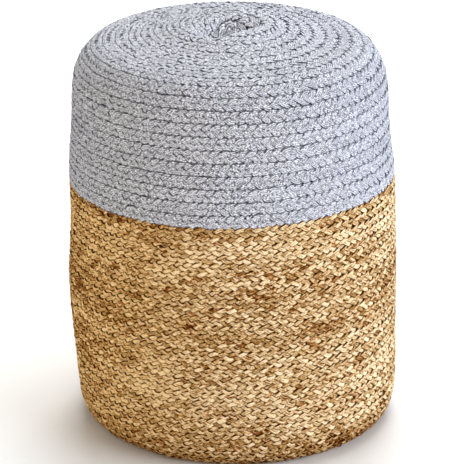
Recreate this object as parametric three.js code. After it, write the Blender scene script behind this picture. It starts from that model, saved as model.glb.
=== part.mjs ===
import * as THREE from 'three';

// A round stuffed pouf in two braided covers: a pale cotton crown sewn to a natural jute body.
// Millimetres, +Z up. It stands on z = 0, its front faces -Y, and its right side is +X.

const SEAM_GAP = 0.3;
const AZIMUTH_STEPS = 68;

// The pale cover's outline, from the middle of the crown out over the shoulder and down to the seam.
const PALE_OUTLINE = [
  { at: 'crown middle', radius: 0, height: 450 },
  { at: 'crown', radius: 45, height: 445.2 },
  { at: 'crown', radius: 90, height: 435 },
  { at: 'crown edge', radius: 119, height: 430 },
  { at: 'crown edge', radius: 136, height: 427.1 },
  { at: 'shoulder', radius: 149, height: 421.2 },
  { at: 'shoulder', radius: 159, height: 409.8 },
  { at: 'shoulder', radius: 165.6, height: 396 },
  { at: 'wall top', radius: 168.9, height: 380 },
  { at: 'wall', radius: 171, height: 338 },
  { at: 'seam', radius: 175.9, height: 278.6 },
];

// The jute cover's outline, from the seam down over the belly and round under the foot.
const JUTE_OUTLINE = [
  { at: 'seam', radius: 175.9, height: 278.6 },
  { at: 'wall', radius: 176.8, height: 228 },
  { at: 'belly', radius: 179, height: 174 },
  { at: 'wall', radius: 177.8, height: 100 },
  { at: 'wall foot', radius: 175.4, height: 42 },
  { at: 'foot edge', radius: 173, height: 24 },
  { at: 'foot edge', radius: 167.6, height: 10.6 },
  { at: 'foot edge', radius: 159.5, height: 3 },
  { at: 'base rim', radius: 150, height: 0 },
];
const PALE_STEPS = 34;
const JUTE_STEPS = 24;
const BASE_RINGS = 4;

// The whole pouf leans: its foot stands off to the right, and above LEAN_TOP it is upright again.
const FOOT_SHIFT = 5;
const CROWN_SHIFT = -2.6;
const LEAN_TOP = 320;

// Where the filling is packed unevenly the wall swells and sinks a little, by waves round and up it.
const SWELLS = [
  { size: 1.1, lobes: 3, turn: 0.4, rise: 260 },
  { size: 0.7, lobes: 5, turn: 2.1, rise: 150 },
];
const SWELL_FADE = 40;

// The crown is pressed in off its middle. The hollow is a long dent that falls away steeply behind a
// raised lip at its right front, and rises more softly at the back.
const HOLLOW = {
  x: -3,
  y: -13,
  depth: 26,
  floor: 0.1,
  reachFront: 28,
  reachBack: 38,
  reachSide: 48,
  lipAzimuth: THREE.MathUtils.degToRad(-53),
  lipRise: 3.6,
  lipWidth: 8,
};

const COTTON = new THREE.MeshStandardMaterial({ color: 0xa9abb4, roughness: 0.92, metalness: 0 });
const JUTE = new THREE.MeshStandardMaterial({ color: 0xb9935f, roughness: 0.88, metalness: 0 });

// Even steps along a smooth curve through the stations, as lathe points: x is radius, y is height.
function outlinePoints(stations, steps) {
  const curve = new THREE.CatmullRomCurve3(
    stations.map((s) => new THREE.Vector3(s.radius, s.height, 0)),
    false,
    'centripetal',
  );
  return curve.getSpacedPoints(steps).map((p) => new THREE.Vector2(p.x, p.y));
}

// How far the packing pushes the wall outwards, fading to nothing at the foot and over the crown.
function swell(azimuth, radius, height) {
  const fade =
    THREE.MathUtils.smoothstep(height, 0, SWELL_FADE) *
    THREE.MathUtils.smoothstep(radius, 0, PALE_OUTLINE[4].radius);
  let out = 0;
  for (const s of SWELLS) {
    out += s.size * Math.cos(s.lobes * azimuth + s.turn) * Math.cos((Math.PI * 2 * height) / s.rise);
  }
  return out * fade;
}

// How far the crown is pushed down at a place: an oval dent with its lip, seen from its own middle.
function sink(x, y) {
  const away = Math.hypot(x - HOLLOW.x, y - HOLLOW.y);
  const turned = Math.atan2(y - HOLLOW.y, x - HOLLOW.x) - HOLLOW.lipAzimuth;
  const facing = 0.5 + 0.5 * Math.cos(turned);
  const across = THREE.MathUtils.lerp(HOLLOW.reachBack, HOLLOW.reachFront, facing);
  const reach = 1 / Math.hypot(Math.cos(turned) / across, Math.sin(turned) / HOLLOW.reachSide);
  const dent = 1 - THREE.MathUtils.smoothstep(away / reach, HOLLOW.floor, 1);
  const lip = Math.exp(-(((away - reach - HOLLOW.lipWidth / 2) / HOLLOW.lipWidth) ** 2));
  return HOLLOW.depth * dent - HOLLOW.lipRise * lip * facing ** 2;
}

// How far the middle of the pouf stands to the right at a height.
function lean(height) {
  const below = Math.max(0, 1 - height / LEAN_TOP);
  return CROWN_SHIFT + (FOOT_SHIFT - CROWN_SHIFT) * below ** 1.2;
}

// Turns an even lathe shape into the leaning, unevenly packed one. Its flat base stays at z = 0.
function settle(geometry, crownAbove) {
  const place = geometry.getAttribute('position');
  for (let i = 0; i < place.count; i += 1) {
    const z = place.getZ(i);
    const radius = Math.hypot(place.getX(i), place.getY(i));
    const azimuth = Math.atan2(place.getY(i), place.getX(i));
    const r = radius + swell(azimuth, radius, z);
    const x = r * Math.cos(azimuth) + lean(z);
    const y = r * Math.sin(azimuth);
    place.setXYZ(i, x, y, z > crownAbove ? z - sink(x, y) : z);
  }
  geometry.deleteAttribute('uv');
  geometry.computeVertexNormals();
  return geometry;
}

// A solid of revolution about +Z from an outline whose first and last points are on the axis.
function turned(outline) {
  const upwards = [...outline].reverse();
  return new THREE.LatheGeometry(upwards, AZIMUTH_STEPS).rotateX(Math.PI / 2);
}

// The crown and shoulder of pale cotton braid, stuffed solid, cut flat at the seam.
function paleCover() {
  const outline = outlinePoints(PALE_OUTLINE, PALE_STEPS);
  const seam = outline[PALE_STEPS];
  seam.y += SEAM_GAP / 2;
  outline.push(new THREE.Vector2(0, seam.y));
  const mesh = new THREE.Mesh(settle(turned(outline), PALE_OUTLINE[8].height), COTTON);
  mesh.name = 'pale_cover';
  return mesh;
}

// The barrel of jute braid under it, stuffed solid, with a rounded foot and a flat round base.
function juteCover() {
  const outline = outlinePoints(JUTE_OUTLINE, JUTE_STEPS);
  outline[0].y -= SEAM_GAP / 2;
  outline.unshift(new THREE.Vector2(0, outline[0].y));
  const rim = outline[outline.length - 1];
  for (let ring = BASE_RINGS - 1; ring >= 0; ring -= 1) {
    outline.push(new THREE.Vector2((rim.x * ring) / BASE_RINGS, 0));
  }
  const mesh = new THREE.Mesh(settle(turned(outline), Infinity), JUTE);
  mesh.name = 'jute_cover';
  return mesh;
}

const pouf = new THREE.Group();
pouf.add(paleCover(), juteCover());

export default pouf;
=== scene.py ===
import math

import bpy
import numpy as np
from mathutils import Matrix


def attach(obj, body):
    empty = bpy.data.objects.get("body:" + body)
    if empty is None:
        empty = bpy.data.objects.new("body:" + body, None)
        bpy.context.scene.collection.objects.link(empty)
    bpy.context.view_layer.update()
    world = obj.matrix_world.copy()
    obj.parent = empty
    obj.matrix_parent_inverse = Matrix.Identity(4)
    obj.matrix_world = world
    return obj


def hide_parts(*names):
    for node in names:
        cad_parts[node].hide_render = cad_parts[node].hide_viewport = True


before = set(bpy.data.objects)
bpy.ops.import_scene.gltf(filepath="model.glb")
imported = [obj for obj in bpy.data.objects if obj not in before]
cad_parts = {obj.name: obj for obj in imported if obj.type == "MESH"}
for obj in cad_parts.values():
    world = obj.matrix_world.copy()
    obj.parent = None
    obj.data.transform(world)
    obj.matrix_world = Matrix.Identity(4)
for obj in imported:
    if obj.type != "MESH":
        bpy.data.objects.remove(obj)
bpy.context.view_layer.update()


# The camera stands well back and looks down a little on the crown, with a long lens, so that the
# drum's sides stay nearly upright and the hollow in the crown only shows as a lip.
CAMERA_PLACE = (-0.0011, -3.0642, 1.4192)
CAMERA_DOWN = math.radians(21.597)
CAMERA_LENS = 234.47

camera = bpy.data.objects.new("camera", bpy.data.cameras.new("camera"))
camera.data.sensor_width = 36
camera.data.lens = CAMERA_LENS
camera.location = CAMERA_PLACE
camera.rotation_euler = (math.pi / 2 - CAMERA_DOWN, 0, 0)
bpy.context.scene.collection.objects.link(camera)
bpy.context.scene.camera = camera


# The stuffed form is a drum of loose stuffing, fuller at the belly, drawn in to the crown and round
# under the foot. It leans, it is packed unevenly, and someone has pressed a hollow into the crown.
OUTLINE = np.array([  # radius, height
    (0.0000, 0.4500),  # crown middle
    (0.0450, 0.4452),
    (0.0900, 0.4350),
    (0.1190, 0.4300),
    (0.1360, 0.4271),
    (0.1490, 0.4212),  # shoulder
    (0.1590, 0.4098),
    (0.1656, 0.3960),
    (0.1689, 0.3800),  # wall top
    (0.1710, 0.3380),
    (0.1759, 0.2786),  # seam
    (0.1768, 0.2280),
    (0.1790, 0.1740),  # belly
    (0.1778, 0.1000),
    (0.1754, 0.0420),
    (0.1730, 0.0240),  # foot
    (0.1676, 0.0106),
    (0.1595, 0.0030),
    (0.1500, 0.0000),  # base rim
])
SEAM_STATION = 10
SPAN_STEPS = 40  # from one station to the next
SLOPE_STEP = 0.0004  # how far to each side a slope is measured
AXIS_CLEAR = 0.002  # nearer to the axis, the turn for a slope stays that of this radius
CROWN_EDGE_RADIUS = 0.136
CROWN_ABOVE = 0.380
FOOT_SHIFT = 0.005
CROWN_SHIFT = -0.0026
LEAN_TOP = 0.320
LEAN_POWER = 1.2
SWELLS = (  # size, waves round, phase, height of a wave
    (0.0011, 3, 0.4, 0.260),
    (0.0007, 5, 2.1, 0.150),
)
SWELL_FADE = 0.040
HOLLOW_MIDDLE = (-0.003, -0.013)
HOLLOW_DEPTH = 0.026
HOLLOW_FLOOR = 0.1  # the flat part of its reach
REACH_FRONT = 0.028
REACH_BACK = 0.038
REACH_SIDE = 0.048
LIP_AZIMUTH = math.radians(-53)
LIP_RISE = 0.0036
LIP_WIDTH = 0.008


def smooth_curve(stations, steps):
    """Points along a centripetal Catmull-Rom curve. Each span is a cubic. Its slope at a station is
    the sum of the two neighbouring chords, each over its knot, less the chord across both over the
    two knots. A knot is the square root of its chord's length."""
    ends = 2 * stations[[0, -1]] - stations[[1, -2]]
    p = np.vstack([ends[:1], stations, ends[1:]])
    knot = np.sqrt(np.linalg.norm(np.diff(p, axis=0), axis=1))[:, None]
    chord = np.diff(p, axis=0) / knot
    slope = chord[:-1] + chord[1:] - (p[2:] - p[:-2]) / (knot[:-1] + knot[1:])
    start, end = p[1:-2, None], p[2:-1, None]
    leave, arrive = (slope[:-1] * knot[1:-1])[:, None], (slope[1:] * knot[1:-1])[:, None]
    t = np.linspace(0, 1, steps, endpoint=False)[None, :, None]
    cubic = (start + t * leave + t**2 * (3 * (end - start) - 2 * leave - arrive)
             + t**3 * (2 * (start - end) + leave + arrive))
    return np.vstack([cubic.reshape(-1, 2), stations[-1:]])


outline = np.vstack([smooth_curve(OUTLINE, SPAN_STEPS), [(0.0, 0.0)]])  # ends in the base's middle
arc = np.concatenate([[0], np.cumsum(np.linalg.norm(np.diff(outline, axis=0), axis=1))])
SEAM_ARC = arc[SEAM_STATION * SPAN_STEPS]
BASE_MIDDLE_ARC = arc[-1]


def smoothstep(value, low, high):
    """0 below low, 1 above high, and 3t^2 - 2t^3 between them."""
    t = np.clip((value - low) / (high - low), 0, 1)
    return t * t * (3 - 2 * t)


def swell(azimuth, radius, height):
    """Waves round and up the wall, added, that fade out at the foot and over the crown."""
    fade = smoothstep(height, 0, SWELL_FADE) * smoothstep(radius, 0, CROWN_EDGE_RADIUS)
    out = 0
    for size, lobes, turn, rise in SWELLS:
        out = out + size * np.cos(lobes * azimuth + turn) * np.cos(2 * np.pi * height / rise)
    return out * fade


def lean(height):
    """How far the middle stands to the right: most at the foot, fading by a power to LEAN_TOP."""
    below = np.clip(1 - height / LEAN_TOP, 0, None)
    return CROWN_SHIFT + (FOOT_SHIFT - CROWN_SHIFT) * below**LEAN_POWER


def sink(x, y):
    """Depth of the hollow: a smooth step down from an oval rim, which is nearest to the middle at the
    lip and furthest to its sides, less a bell-shaped lip."""
    dx, dy = x - HOLLOW_MIDDLE[0], y - HOLLOW_MIDDLE[1]
    away = np.hypot(dx, dy)
    turned = np.arctan2(dy, dx) - LIP_AZIMUTH
    facing = 0.5 + 0.5 * np.cos(turned)
    across = REACH_BACK + (REACH_FRONT - REACH_BACK) * facing
    reach = 1 / np.hypot(np.cos(turned) / across, np.sin(turned) / REACH_SIDE)
    dent = 1 - smoothstep(away / reach, HOLLOW_FLOOR, 1)
    lip = np.exp(-(((away - reach - LIP_WIDTH / 2) / LIP_WIDTH) ** 2))
    return HOLLOW_DEPTH * dent - LIP_RISE * lip * facing**2


def on_form(s, azimuth):
    """The form's surface at an arc length down the outline and an azimuth: the outline turned about
    +Z, swollen, leant and pressed in. A negative arc length lies past the crown's middle."""
    radius = np.interp(np.abs(s), arc, outline[:, 0])
    height = np.interp(np.abs(s), arc, outline[:, 1])
    radius = np.sign(s) * (radius + swell(azimuth, radius, height))
    x = radius * np.cos(azimuth) + lean(height)
    y = radius * np.sin(azimuth)
    z = height - np.where(height > CROWN_ABOVE, sink(x, y), 0)
    return np.stack([x, y, z], axis=-1)


def off_form(s, azimuth, out):
    """A point that distance out from the form, along the cross product of the surface's two slopes,
    which are the chords between points a small step to each side."""
    turn = SLOPE_STEP / np.maximum(np.interp(np.abs(s), arc, outline[:, 0]), AXIS_CLEAR)
    down = on_form(s + SLOPE_STEP, azimuth) - on_form(s - SLOPE_STEP, azimuth)
    sideways = on_form(s, azimuth + turn) - on_form(s, azimuth - turn)
    normal = np.cross(down, sideways) * np.sign(s)[..., None]
    normal /= np.linalg.norm(normal, axis=-1, keepdims=True) + 1e-12
    return on_form(s, azimuth) + normal * out[..., None]


# The pale cover is a flat plait of three flat strands of blue-grey cotton yarn. It starts thin in the
# middle of the crown, winds outwards and down, each turn sewn to the last, and ends at the back.
PALE = {
    "row": 0.01388,  # from one row to the next
    "period": 0.0285,  # a strand's whole way across and back
    "swing": 0.0047,  # to each side of the row's middle
    "rise": 0.0007,  # over and under its neighbours
    "half_width": 0.0040,
    "half_thick": 0.0009,
}
PALE_BACKING = 0.0030  # how deep it lies under the form's surface
PALE_RINGS = 13.6  # to a period
PALE_SEED = 11
PALE_TONES = {"own": (0.64, 0.655, 0.625), "slow": 0.015, "quick": 0.02}  # as strand_tones says
JUTE_ROW = 0.00980
FRONT = -math.pi / 2
FRONT_SEAM_TURN = SEAM_ARC / PALE["row"]
BACK_SEAM_TURN = FRONT_SEAM_TURN - 0.5
THIN_START = 0.15  # turns by which the plait starts off the form's middle
PALE_START = THIN_START - 1
SHOULDER_TURN = 12.6
PALE_LENGTHS = {
    "pale_crown_plait": (PALE_START, SHOULDER_TURN),
    "pale_wall_plait": (SHOULDER_TURN, BACK_SEAM_TURN),
}

# How hands stray from even plaiting, as a part of the size that strays. A roll is an angle.
PACE_STRAYS = ((0.036, 0.6), (0.096, 10))  # periods early or late, and over how many periods
SWING_STRAY = 0.084
MIDDLE_STRAY = 0.036
RISE_STRAY = 0.192
PLUMP_STRAY = 0.084
ROLL_STRAY = 0.12
RISE_LATE = 0.3  # how late its rise comes, as an angle of the wave
TURN_STEPS = 720
TONE_WAVES = (6.0, 2.3, 0.9, 0.35)  # in metres of plait
SIDE_DIP = 12  # degrees that a strand's top curves down past its sides
UNDERSIDE = 0.6  # how full its underside is beside its top

# Two maps of a strand. On the first, in metres, the strands lie apart. The second fills a square
# with strips of the strands, and its top band is left for the backing.
MAP_APART = 0.02  # metres from strand to strand
STRIPS_TOP = 0.97
STRIP_EDGE = 0.04  # left free along each side of a strand, of its height on the map
STRIP_END = 0.001  # and at the ends of a strip
BACKING_BAND = (0.975, 0.998)
BACKING_STEP = 0.006
BACKING_SIDES = 72
BACKING_POLE = 0.002  # from the form's middle to its last ring, which a cap closes
BACKING_SEAM = 0.001  # from the seam to its first ring


def edge(turn):
    """Arc length of a row's upper edge after some turns of the spiral: a straight line for each
    plait, with the break where the seam passes the front, held between the form's two middles."""
    away = turn - FRONT_SEAM_TURN
    slope = np.where(away < 0, PALE["row"], JUTE_ROW)
    return np.clip(SEAM_ARC + slope * away, 0, BASE_MIDDLE_ARC)


def arch_section(points, square):
    """A strand's section as a ring of points: a superellipse, flattened below, so that the strand is
    broad on top with rounded edges."""
    angle = np.radians(np.append(np.linspace(-SIDE_DIP, 180 + SIDE_DIP, points - 1), 270))
    power = 2 / square
    across = np.sign(np.cos(angle)) * np.abs(np.cos(angle)) ** power
    up = np.sign(np.sin(angle)) * np.abs(np.sin(angle)) ** power
    return np.stack([across, np.where(up > 0, 1, UNDERSIDE) * up], -1)


SECTION = arch_section(points=7, square=2.4)


def winding(first_turn, last_turn, cord):
    """The spiral in small steps. A step's length is its share of the circle through the middle of
    the row, over the row's width beside a whole row, so that a thin row counts as a longer one.
    Returns the turns and the length so far, and each step's rate of even periods to a turn."""
    turn = np.linspace(first_turn, last_turn, int(TURN_STEPS * (last_turn - first_turn)))
    width = (edge(turn + 1) - edge(turn)) / cord["row"]
    middle = np.interp((edge(turn) + edge(turn + 1)) / 2, arc, outline[:, 0])
    pace = 2 * np.pi * middle / width
    step = (pace[1:] + pace[:-1]) / 2 * np.diff(turn)
    return {"cord": cord, "turn": turn, "length": np.append(0, np.cumsum(step)),
            "periods": step / np.diff(turn) / cord["period"]}


def strand_ring(cord, slope_across, slope_up, plump, roll):
    """A strand's section round its middle, along, across and out of the row: the section, made plump
    and rolled, on two axes square to the strand. The first lies in the row's face, and the second is
    their cross product."""
    flat = np.sqrt(1 + slope_across**2)
    run = np.sqrt(flat**2 + slope_up**2)
    side = np.stack([-slope_across / flat, 1 / flat, 0 * flat], -1)
    out = np.stack([-slope_up / run / flat, -slope_up * slope_across / run / flat, flat / run], -1)
    u, v = SECTION[:, 0] * cord["half_width"], SECTION[:, 1] * cord["half_thick"]
    u, v = u * np.cos(roll) - v * np.sin(roll), u * np.sin(roll) + v * np.cos(roll)
    return plump[..., None, None] * (u[..., None] * side[:, :, None] + v[..., None] * out[:, :, None])


def lay(spiral, along, across, up):
    """Points along, across and up from the row, put on the form: down the outline from the middle of
    the row, round by the turns so far, and out, all drawn in where the row is thin. The floor stops
    them."""
    row = spiral["cord"]["row"]
    turn = np.interp(along, spiral["length"], spiral["turn"])
    upper, lower = edge(turn), edge(turn + 1)
    s = (upper + lower) / 2 - across * (lower - upper) / row
    azimuth = FRONT - 2 * np.pi * (turn - FRONT_SEAM_TURN)
    points = off_form(s, azimuth, up * (lower - upper) / row)
    points[..., 2] = np.maximum(points[..., 2], 0)
    return points


def plait(spiral, periods, rings, rng):
    """Three strands of a flat plait, as tubes. Along the row a strand swings across by a sine and
    rises and sinks by a sine of twice the pace, a third of a period behind the last one, so that it
    always lies over its neighbour on its way out from the middle and under it on its way back.
    periods is how many a turn has, and rings how many a period has, at each step of the spiral.
    Returns arrays (strand, ring, section) of the points and of what the finish needs."""
    cord, length = spiral["cord"], spiral["length"]
    period, rise = cord["period"], cord["rise"]
    beats = periods * np.diff(spiral["turn"])
    count = np.append(0, np.cumsum(beats * rings))
    beats = np.append(0, np.cumsum(beats))
    # rings run against the winding, so that along, across and out make a right-handed frame
    wound = np.interp(np.arange(int(count[-1]), -1, -1), count, length)

    def wander(size, pitch):
        """Random values at even distances, drawn out evenly between them."""
        knots = np.arange(-pitch, length[-1] + 2 * pitch, pitch)
        return np.interp(wound, knots, rng.normal(0, size, len(knots)))

    shift = sum(wander(size, pitch * period) for size, pitch in PACE_STRAYS)
    phase = -2 * np.pi * (np.interp(wound, length, beats) + shift)
    phase = phase[None, :] + 2 * np.pi / 3 * np.arange(3)[:, None]
    lobe = phase / np.pi - 0.25  # whole numbers where a strand is about highest
    lobes = np.arange(int(lobe.min()) - 2, int(lobe.max()) + 3)

    def each_lobe(size):
        """Random values, one for each lobe of each strand, drawn out evenly between lobes."""
        drawn = rng.normal(0, size, (3, len(lobes)))
        return np.stack([np.interp(lobe[k], lobes, drawn[k]) for k in range(3)])

    swing = cord["swing"] * (1 + each_lobe(SWING_STRAY))
    across = swing * np.sin(phase) + each_lobe(MIDDLE_STRAY * cord["swing"])
    up = rise * np.sin(2 * phase - RISE_LATE) + each_lobe(RISE_STRAY * rise)
    slope_across = swing * np.cos(phase) * 2 * np.pi / period
    slope_up = 2 * rise * np.cos(2 * phase - RISE_LATE) * 2 * np.pi / period
    plump = 1 + each_lobe(PLUMP_STRAY)
    ring = strand_ring(cord, slope_across, slope_up, plump, each_lobe(ROLL_STRAY)[..., None])
    x = ring[..., 1] + across[..., None]
    h = ring[..., 2] + up[..., None] - rise - cord["half_thick"]
    points = lay(spiral, wound[None, :, None] - ring[..., 0], x, h)
    return {"cord": cord, "points": points, "wound": wound, "each_lobe": each_lobe,
            "turn": np.interp(wound, length, spiral["turn"]), "spot": each_lobe(1.0),
            "depth": -h, "beside": 2 * x / cord["row"]}


def strand_tones(made, rng, own, slow, quick):
    """A tone for each point: its strand's own, plus slow waves along the plait of one size, plus a
    random value for each lobe of another size."""
    tone = np.array(own)[:, None] + made["each_lobe"](quick)
    for wave in TONE_WAVES:
        turn = rng.uniform(0, 2 * np.pi, 3)[:, None]
        tone = tone + slow * np.sin(2 * np.pi * made["wound"] / wave + turn)
    return tone[..., None]


def strand_part(made, first_turn, last_turn, tone):
    """The three strands between two turns, with the ring before them, where the piece before ends.
    One map runs along the winding and round the section, in metres, with the strands apart. The other
    cuts the three, side by side, into strips that are stacked to fill a square."""
    keep = np.flatnonzero((made["turn"] >= first_turn) & (made["turn"] <= last_turn))
    keep = np.arange(keep[0], min(keep[-1] + 2, len(made["turn"])))
    wound, around, cord = made["wound"][keep], len(SECTION), made["cord"]
    ring = np.append(SECTION, SECTION[:1], axis=0) * (cord["half_width"], cord["half_thick"])
    girth = np.append(0, np.cumsum(np.linalg.norm(np.diff(ring, axis=0), axis=1)))
    tube, at, part = np.ogrid[:3, :len(keep) - 1, :around]
    along = np.stack([at + 1, at + 1, at, at], -1)
    reach = np.stack([girth[part], girth[part + 1], girth[part + 1], girth[part]], -1)
    metres = np.stack(np.broadcast_arrays(wound[along], tube[..., None] * MAP_APART + reach), -1)
    apart = np.arange(3)[:, None] * MAP_APART + girth[:-1]
    metres_ends = np.stack(np.broadcast_arrays(
        wound[[0, -1], None, None], np.stack([apart, apart[:, ::-1]])), -1)

    strips = math.ceil(math.sqrt((len(keep) - 1) * np.abs(np.diff(wound)).mean() / girth[-1] / 3))
    per_strip = math.ceil((len(keep) - 1) / strips)
    strip = at // per_strip
    high = STRIPS_TOP / (3 * strips)
    share = STRIP_EDGE + (1 - 2 * STRIP_EDGE) * reach / girth[-1]
    u = STRIP_END + (1 - 2 * STRIP_END) * (along - strip[..., None] * per_strip) / per_strip
    v = (3 * strip[..., None] + tube[..., None] + share) * high
    # a baked end cap takes its colour from the start of the first strip
    cap = np.stack([STRIP_END + 0 * share[0, 0, :, 0], share[0, 0, :, 0] * high], -1)
    values = {"tone": tone[:, keep], "across": SECTION[:, 0], "beside": made["beside"][:, keep],
              "depth": made["depth"][:, keep], "lobe": made["spot"][:, keep, None]}
    bake, bake_ends = np.stack(np.broadcast_arrays(u, v), -1), np.broadcast_to(cap, (6, around, 2))
    return {"points": made["points"][:, keep], "values": values,
            "maps": {"plait": (metres, metres_ends), "OFBake": (bake, bake_ends)}}


def shaded_backing_part(first_arc, last_arc, depth):
    """The plait's underside, as one closed body: the form turned at a depth below its surface. It is
    a dark sheet of painted shade, seen down between the strands.
    """
    s = np.linspace(first_arc, last_arc, int((last_arc - first_arc) / BACKING_STEP))[:, None]
    azimuth = np.linspace(0, -2 * np.pi, BACKING_SIDES, endpoint=False)[None, :]
    points = off_form(s + 0 * azimuth, azimuth + 0 * s, -depth + 0 * s * azimuth)[None]
    points[..., 2] = np.maximum(points[..., 2], depth)
    low, high = BACKING_BAND
    ring, part = np.ogrid[:len(s) - 1, :BACKING_SIDES]
    along = low + (high - low) * np.stack([ring + 1, ring + 1, ring, ring], -1) / len(s)
    beside = np.stack([part, part + 1, part + 1, part], -1) / BACKING_SIDES
    walls = np.stack(np.broadcast_arrays(beside, along), -1)
    ends = np.full((2, BACKING_SIDES, 2), low)
    # it is painted in full shade, as dark as the deepest painted shade at a strand's edge
    return {"points": points, "maps": {"plait": (walls, ends), "OFBake": (walls, ends)},
            "values": {"tone": 0.2, "across": 1.0, "beside": 1.0, "depth": 0.01, "lobe": 0.0}}


def piece_mesh(name, parts):
    """One mesh of closed tubes. Each part has points (tube, ring, section), values for each point and
    pairs for each corner of its faces, as maps. A flat cap closes each end of a tube."""
    points, corners, totals, maps, values, offset = [], [], [], {}, {}, 0
    for part in parts:
        tubes, rings, around = part["points"].shape[:3]
        index = np.arange(tubes * rings * around).reshape(tubes, rings, around)
        beside = np.roll(index, -1, axis=2)
        quads = np.stack([index[:, 1:], beside[:, 1:], beside[:, :-1], index[:, :-1]], -1)
        caps = np.concatenate([index[:, 0], index[:, -1, ::-1]])
        corners.append(np.concatenate([quads.ravel(), caps.ravel()]) + offset)
        totals.append(np.append(np.full(quads.size // 4, 4), np.full(len(caps), around)))
        points.append(part["points"].reshape(-1, 3))
        for key, (walls, ends) in part["maps"].items():
            maps.setdefault(key, []).append(np.vstack([walls.reshape(-1, 2), ends.reshape(-1, 2)]))
        for key, value in part["values"].items():
            values.setdefault(key, []).append(np.broadcast_to(value, index.shape).ravel())
        offset += index.size
    corners, totals = np.concatenate(corners), np.concatenate(totals)
    mesh = bpy.data.meshes.new(name)
    mesh.vertices.add(offset)
    mesh.vertices.foreach_set("co", np.concatenate(points).astype(np.float32).ravel())
    mesh.loops.add(len(corners))
    mesh.loops.foreach_set("vertex_index", corners.astype(np.int32))
    mesh.polygons.add(len(totals))
    mesh.polygons.foreach_set("loop_start", (np.cumsum(totals) - totals).astype(np.int32))
    mesh.update(calc_edges=True)
    mesh.polygons.foreach_set("use_smooth", np.ones(len(totals), bool))
    for key, value in values.items():
        layer = mesh.attributes.new(key, "FLOAT", "POINT")
        layer.data.foreach_set("value", np.concatenate(value).astype(np.float32))
    for key, value in maps.items():
        layer = mesh.uv_layers.new(name=key)
        layer.data.foreach_set("uv", np.concatenate(value).astype(np.float32).ravel())
    mesh.validate()
    piece = bpy.data.objects.new(name, mesh)
    bpy.context.scene.collection.objects.link(piece)
    return piece


STRAND_EDGE_SHADE = (0.62, 0.92)  # where painted shade darkens a strand towards its edge, of its half width
ROW_EDGE_SHADE = (0.91, 0.99)  # and where painted shade darkens a row towards its edge
FIBRE_RELIEF = 0.0004


class Shade:
    """A shader socket that Python's operators work on. Each operator adds a Math node."""

    def __init__(self, paint, socket):
        self.paint, self.socket = paint, socket

    def math(self, operation, *others):
        """A Math node on this socket, with the other numbers or sockets that it takes."""
        return self.paint.node("ShaderNodeMath", {"operation": operation},
                               dict(enumerate([self, *others])))

    def __add__(self, other):
        return self.math("ADD", other)

    def __sub__(self, other):
        return self.math("SUBTRACT", other)

    def __rsub__(self, other):
        return self.paint.node("ShaderNodeMath", {"operation": "SUBTRACT"}, {0: other, 1: self})

    def __mul__(self, other):
        return self.math("MULTIPLY", other)

    __radd__, __rmul__ = __add__, __mul__


class Paint:
    """A material whose nodes are added one by one."""

    def __init__(self, name):
        self.material = bpy.data.materials.new(name)
        self.material.use_nodes = True
        self.tree = self.material.node_tree
        self.tree.nodes.clear()

    def node(self, kind, settings=None, inputs=None, output=None):
        """A node of a kind: its settings first, a ramp's stops among them, then the values and links
        of its sockets, by name or number. Returns the named output, or else the first."""
        node = self.tree.nodes.new(kind)
        for key, value in (settings or {}).items():
            if key == "stops":
                ramp = node.color_ramp
                while len(ramp.elements) < len(value):
                    ramp.elements.new(1)
                for element, (position, colour) in zip(ramp.elements, value):
                    element.position, element.color = position, (*colour, 1)
            else:
                setattr(node, key, value)
        for key, value in (inputs or {}).items():
            named = [i for i in node.inputs if i.enabled and i.name == key]
            socket = named[0] if named else node.inputs[key]
            if isinstance(value, Shade):
                self.tree.links.new(value.socket, socket)
            else:
                socket.default_value = value
        outputs = [o for o in node.outputs if o.enabled and output in (None, o.name)]
        return Shade(self, outputs[0]) if outputs else None

    def attribute(self, name):
        """The value that each point of the piece has under a name."""
        return self.node("ShaderNodeAttribute", {"attribute_name": name}, output="Fac")

    def noise(self, place, along, across, detail, rough=0.5):
        """Noise on the plait's map, with a number of cells to the metre along and across."""
        spread = self.node("ShaderNodeMapping", {}, {"Vector": place, "Scale": (along, across, 1)})
        return self.node("ShaderNodeTexNoise", {"noise_dimensions": "2D"},
                         {"Vector": spread, "Scale": 1, "Detail": detail, "Roughness": rough})

    def between(self, value, low, high):
        """0 below low and 1 above high, with a smooth step between them."""
        return self.node("ShaderNodeMapRange", {"interpolation_type": "SMOOTHSTEP"},
                         {"Value": value, "From Min": low, "From Max": high})

    def ramp(self, tone, colours):
        """Evenly spaced colours, read by a tone from 0 to 1."""
        stops = [(i / (len(colours) - 1), srgb(*colour)) for i, colour in enumerate(colours)]
        return self.node("ShaderNodeValToRGB", {"stops": stops}, {"Fac": tone})

    def shadow_lines(self, edges, row_line, deep):
        """How far painted shade darkens the finish, from 0 to 1: at a strand's edges, along the line
        between two rows, and where a strand dives under its neighbour, between two depths. What each
        leaves light is multiplied."""
        sides = self.between(self.attribute("across").math("ABSOLUTE"), *STRAND_EDGE_SHADE) * edges
        rows = self.between(self.attribute("beside").math("ABSOLUTE"), *ROW_EDGE_SHADE) * row_line
        return 1 - (1 - sides) * (1 - rows) * (1 - self.between(self.attribute("depth"), *deep))

    def finish(self, surface):
        """The finished material, with a shader as its surface."""
        self.node("ShaderNodeOutputMaterial", {}, {"Surface": surface})
        return self.material

    def yarn_finish(self, colour, height, relief, shine):
        """A rough, hardly shiny yarn, whose fibres stand up by a height from 0 to 1."""
        bump = self.node("ShaderNodeBump", {}, {
            "Strength": relief, "Distance": FIBRE_RELIEF, "Height": height})
        return self.finish(self.node("ShaderNodeBsdfPrincipled", {}, {
            "Base Color": colour, "Roughness": 0.9, "Normal": bump, "Specular IOR Level": shine}))


def srgb(red, green, blue):
    """A screen colour, 0 to 255, as linear light: a straight line near black, and a power above."""
    c = np.array([red, green, blue]) / 255
    return tuple(np.where(c <= 0.04045, c / 12.92, ((c + 0.055) / 1.055) ** 2.4).tolist())


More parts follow.
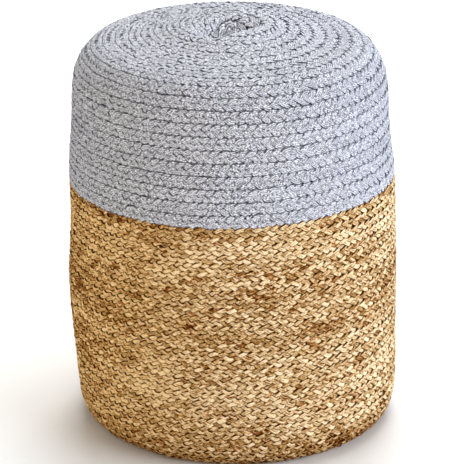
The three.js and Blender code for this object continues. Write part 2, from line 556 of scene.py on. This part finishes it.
YARN_PITCH = 0.0020
FLAT_LIGHT_SIDE = (-0.05, 0.14)  # from and to that far to the right, where painted light calms the cotton
# The darkest stops are mostly reached where painted shade lowers the tone.
COTTON_COLOURS = ((38, 38, 50), (92, 93, 102), (145, 146, 155), (194, 195, 203), (240, 241, 248))


def pale_cotton():
    """Cotton yarn: heathered, from slate to near white, by grains about a millimetre long, in yarns
    that run along the strand, with painted shade in the grooves between the yarns and, down to
    slate, between the strands. Grain, yarns and painted shade are calmer to the right and the tone a
    little darker, by a smooth step across the pouf: painted light, for the big light that falls
    flat on that side."""
    paint = Paint("pale_cotton_yarn")
    place = paint.node("ShaderNodeUVMap", {"uv_map": "plait"})
    grain = paint.noise(place, along=620, across=1250, detail=0)
    fibre = paint.noise(place, along=200, across=900, detail=1)
    across = paint.node("ShaderNodeSeparateXYZ", {}, {"Vector": place}, "Y")
    # the yarns' colour is lighter on their crowns and darker in the grooves between them: painted
    # shade, beside the bump's relief
    yarn = (across * (math.pi / YARN_PITCH)).math("SINE").math("ABSOLUTE")
    around = paint.node("ShaderNodeTexCoord", output="Object")
    rightward = paint.node("ShaderNodeSeparateXYZ", {}, {"Vector": around}, "X")
    # painted light: to the right, where the big light falls flat, grain, yarns and painted shade are
    # calmer and the tone a little darker
    flat_light_side = paint.between(rightward, *FLAT_LIGHT_SIDE)
    # painted shade at the strands' edges, along the row lines and where a strand dives under
    painted_shade = paint.shadow_lines(edges=1.0, row_line=0.5, deep=(0.0040, 0.0066))
    tone = (paint.attribute("tone") + (grain - 0.5) * (1.75 - flat_light_side * 0.65) + (fibre - 0.5) * 0.2
            + (yarn - 0.6) * (0.5 - flat_light_side * 0.15) - painted_shade * (0.78 - flat_light_side * 0.42) - flat_light_side * 0.02)
    return paint.yarn_finish(paint.ramp(tone, COTTON_COLOURS), height=yarn * 0.5 + grain * 0.5,
                             relief=0.5, shine=0.1)


pale_paint = pale_cotton()
rng = np.random.default_rng(PALE_SEED)
spiral = winding(PALE_START, BACK_SEAM_TURN, PALE)
made = plait(spiral, spiral["periods"], PALE_RINGS, rng)
tone = strand_tones(made, rng, **PALE_TONES)
for name, turns in PALE_LENGTHS.items():
    parts = [strand_part(made, *turns, tone)]
    if name == "pale_crown_plait":
        parts.append(shaded_backing_part(BACKING_POLE, SEAM_ARC - BACKING_SEAM, PALE_BACKING))
    piece = piece_mesh(name, parts)
    piece.data.materials.append(pale_paint)
    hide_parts("pale_cover")
    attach(piece, "root")


# The jute cover is a narrower plait of the same kind, of raw jute that runs from straw to rust. It
# starts at the back where the cotton ends, winds down the wall and under the foot to the middle.
JUTE = {
    "row": JUTE_ROW,
    "period": 0.0296,
    "swing": 0.0037,
    "rise": 0.0013,
    "half_width": 0.0030,
    "half_thick": 0.0012,
}
JUTE_BACKING = 0.0028
JUTE_RINGS = 11.8  # to a period, down the wall
BASE_RINGS = 8  # and under the base
JUTE_PERIODS = 113 / 3  # to a turn of the wall, so that each row's lobes fit between the next row's
JUTE_SEED = 31
JUTE_TONES = {"own": (0.855, 0.815, 0.775), "slow": 0.035, "quick": 0.10}
# The tones down to row 24 are the jute's own bundles; the darkening from about row 26 is painted shade
# where the plait turns under the foot.
ROW_TONES_AND_FOOT_SHADE = (  # rows below the seam, and how much paler or browner the plait is there
    (0, -0.04), (1.5, -0.03), (2.5, 0.03), (5.5, 0.03), (7.5, -0.03), (15, -0.03),
    (17, 0.03), (21, 0.03), (24, -0.01), (26, -0.07), (28.5, -0.30), (34, -0.14),
)
MIDDLE_PIECE_TURN = BACK_SEAM_TURN + 9.9
LOWER_PIECE_TURN = BACK_SEAM_TURN + 19.8
WALL_END_TURN = BACK_SEAM_TURN + 29.8
MIDDLE_TURN = FRONT_SEAM_TURN + (BASE_MIDDLE_ARC - SEAM_ARC) / JUTE_ROW - THIN_START
JUTE_LENGTHS = {
    "jute_upper_plait": (BACK_SEAM_TURN, MIDDLE_PIECE_TURN),
    "jute_middle_plait": (MIDDLE_PIECE_TURN, LOWER_PIECE_TURN),
    "jute_lower_plait": (LOWER_PIECE_TURN, WALL_END_TURN),
    "jute_base_plait": (WALL_END_TURN, MIDDLE_TURN),
}
# Their darkest stops are mostly reached where painted shade lowers the tone.
STRAW_COLOURS = ((54, 17, 0), (106, 58, 8), (150, 107, 52), (198, 163, 112), (247, 223, 185))
RUST_COLOURS = ((36, 8, 0), (84, 38, 4), (132, 77, 28), (179, 125, 67), (224, 176, 118))
WARM_SHADE_GOLD = (0.98, 0.86, 0.62, 1)
WARM_SHADE_SIDE = (-0.05, 0.17)  # from and to that far to the left, where painted warm shade makes the jute more golden


def raw_jute():
    """Raw jute: fibres that run along the strand, from brown through gold to pale straw, with painted
    shade, dark brown, down between the strands. Rusty patches a lobe or so long gather in streaks
    that lie round the wall, and by a smooth step across the pouf its left side, away from the big
    light, is more golden: painted warm shade."""
    paint = Paint("raw_jute_fibre")
    place = paint.node("ShaderNodeUVMap", {"uv_map": "plait"})
    fibre = paint.noise(place, along=150, across=1000, detail=1, rough=0.6)
    fleck = paint.noise(place, along=700, across=900, detail=0)
    patch = paint.noise(place, along=140, across=500, detail=1)
    around = paint.node("ShaderNodeTexCoord", output="Object")
    streak = paint.node("ShaderNodeMapping", {}, {"Vector": around, "Scale": (9, 9, 34)})
    stain = paint.node("ShaderNodeTexNoise", {}, {"Vector": streak, "Scale": 1, "Detail": 2})
    rusty = paint.between(patch + (stain - 0.5) * 0.5 + paint.attribute("lobe") * 0.09, 0.60, 0.79)
    # painted shade at the strands' edges, along the row lines and where a strand dives under
    painted_shade = paint.shadow_lines(edges=1.4, row_line=0.1, deep=(0.0034, 0.0056))
    tone = (paint.attribute("tone") + (fibre - 0.5) * 0.95 + (fleck - 0.5) * 0.55 - painted_shade * 0.85
            - (stain - 0.5) * 0.25 - rusty * 0.26)
    colour = paint.node("ShaderNodeMix", {"data_type": "RGBA"}, {
        "Factor": rusty, "A": paint.ramp(tone, STRAW_COLOURS), "B": paint.ramp(tone, RUST_COLOURS)})
    leftward = paint.node("ShaderNodeSeparateXYZ", {}, {"Vector": around}, "X") * -1
    # painted warm shade: the left side, away from the big light, is made more golden
    colour = paint.node("ShaderNodeMix", {"data_type": "RGBA", "blend_type": "MULTIPLY"}, {
        "Factor": paint.between(leftward, *WARM_SHADE_SIDE), "A": colour, "B": WARM_SHADE_GOLD})
    return paint.yarn_finish(colour, height=fibre + fleck * 0.5, relief=0.7, shine=0.05)


jute_paint = raw_jute()
rng = np.random.default_rng(JUTE_SEED)
spiral = winding(BACK_SEAM_TURN, MIDDLE_TURN, JUTE)
on_wall = spiral["turn"][1:] < WALL_END_TURN
made = plait(spiral, np.where(on_wall, JUTE_PERIODS, spiral["periods"]),
             np.where(on_wall, JUTE_RINGS, BASE_RINGS), rng)
tone = strand_tones(made, rng, **JUTE_TONES)
# the bundles' own tones, and painted shade where the plait turns under the foot
tone = tone + np.interp(made["turn"] - BACK_SEAM_TURN, *np.transpose(ROW_TONES_AND_FOOT_SHADE))[:, None]
for name, turns in JUTE_LENGTHS.items():
    parts = [strand_part(made, *turns, tone)]
    if name == "jute_base_plait":
        parts.append(shaded_backing_part(SEAM_ARC + BACKING_SEAM, BASE_MIDDLE_ARC - BACKING_POLE,
                                  JUTE_BACKING))
    piece = piece_mesh(name, parts)
    piece.data.materials.append(jute_paint)
    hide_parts("jute_cover")
    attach(piece, "root")


# The pouf stands on a plain pale floor in a plain studio. Five soft square lights are on it, and the
# strongest is at its right.
REACH = 6  # of the floor to each side
AMBIENT_COLOUR = (1, 0.93, 0.83, 1)
AMBIENT_STRENGTH = 0.3

floor_mesh = bpy.data.meshes.new("floor")
floor_mesh.from_pydata([(-REACH, -REACH, 0), (REACH, -REACH, 0), (REACH, REACH, 0),
                        (-REACH, REACH, 0)], [], [(0, 1, 2, 3)])
floor = bpy.data.objects.new("floor", floor_mesh)
bpy.context.scene.collection.objects.link(floor)
floor_paint = Paint("pale_floor")
floor_mesh.materials.append(floor_paint.finish(floor_paint.node(
    "ShaderNodeBsdfPrincipled", {}, {"Base Color": (0.9, 0.9, 0.9, 1), "Roughness": 0.9})))

world = bpy.data.worlds.new("studio")
world.use_nodes = True
world.node_tree.nodes["Background"].inputs["Color"].default_value = AMBIENT_COLOUR
world.node_tree.nodes["Background"].inputs["Strength"].default_value = AMBIENT_STRENGTH
bpy.context.scene.world = world


def soft_light(name, place, target, size, power, colour):
    """A square studio light that faces a point. It is tipped by the angle between +Z and the way back
    from that point, and turned by that way's azimuth and a quarter more."""
    light = bpy.data.lights.new(name, "AREA")
    light.size, light.energy, light.color = size, power, colour
    lamp = bpy.data.objects.new(name, light)
    lamp.location = place
    away = np.array(place) - np.array(target)
    lamp.rotation_euler = (math.acos(away[2] / np.linalg.norm(away)), 0,
                           math.atan2(away[1], away[0]) + math.pi / 2)
    bpy.context.scene.collection.objects.link(lamp)


soft_light("right", (2.6, -1.3, 0.8), (0, 0, 0.25), size=2.4, power=102, colour=(0.79, 0.86, 0.98))
soft_light("top", (0.3, 0.6, 2.8), (0, 0, 0.30), size=1.8, power=50, colour=(0.92, 0.97, 1.0))
soft_light("behind", (0.2, 2.4, 1.9), (0, 0, 0.30), size=1.8, power=52, colour=(0.94, 0.98, 1.0))
soft_light("left", (-2.6, -1.2, 0.9), (0, 0, 0.25), size=1.4, power=15, colour=(0.92, 0.88, 0.82))
soft_light("front", (-0.4, -3.2, 1.6), (0, 0, 0.25), size=2.4, power=24, colour=(1.0, 0.86, 0.62))

bpy.context.scene.view_settings.view_transform = "Standard"
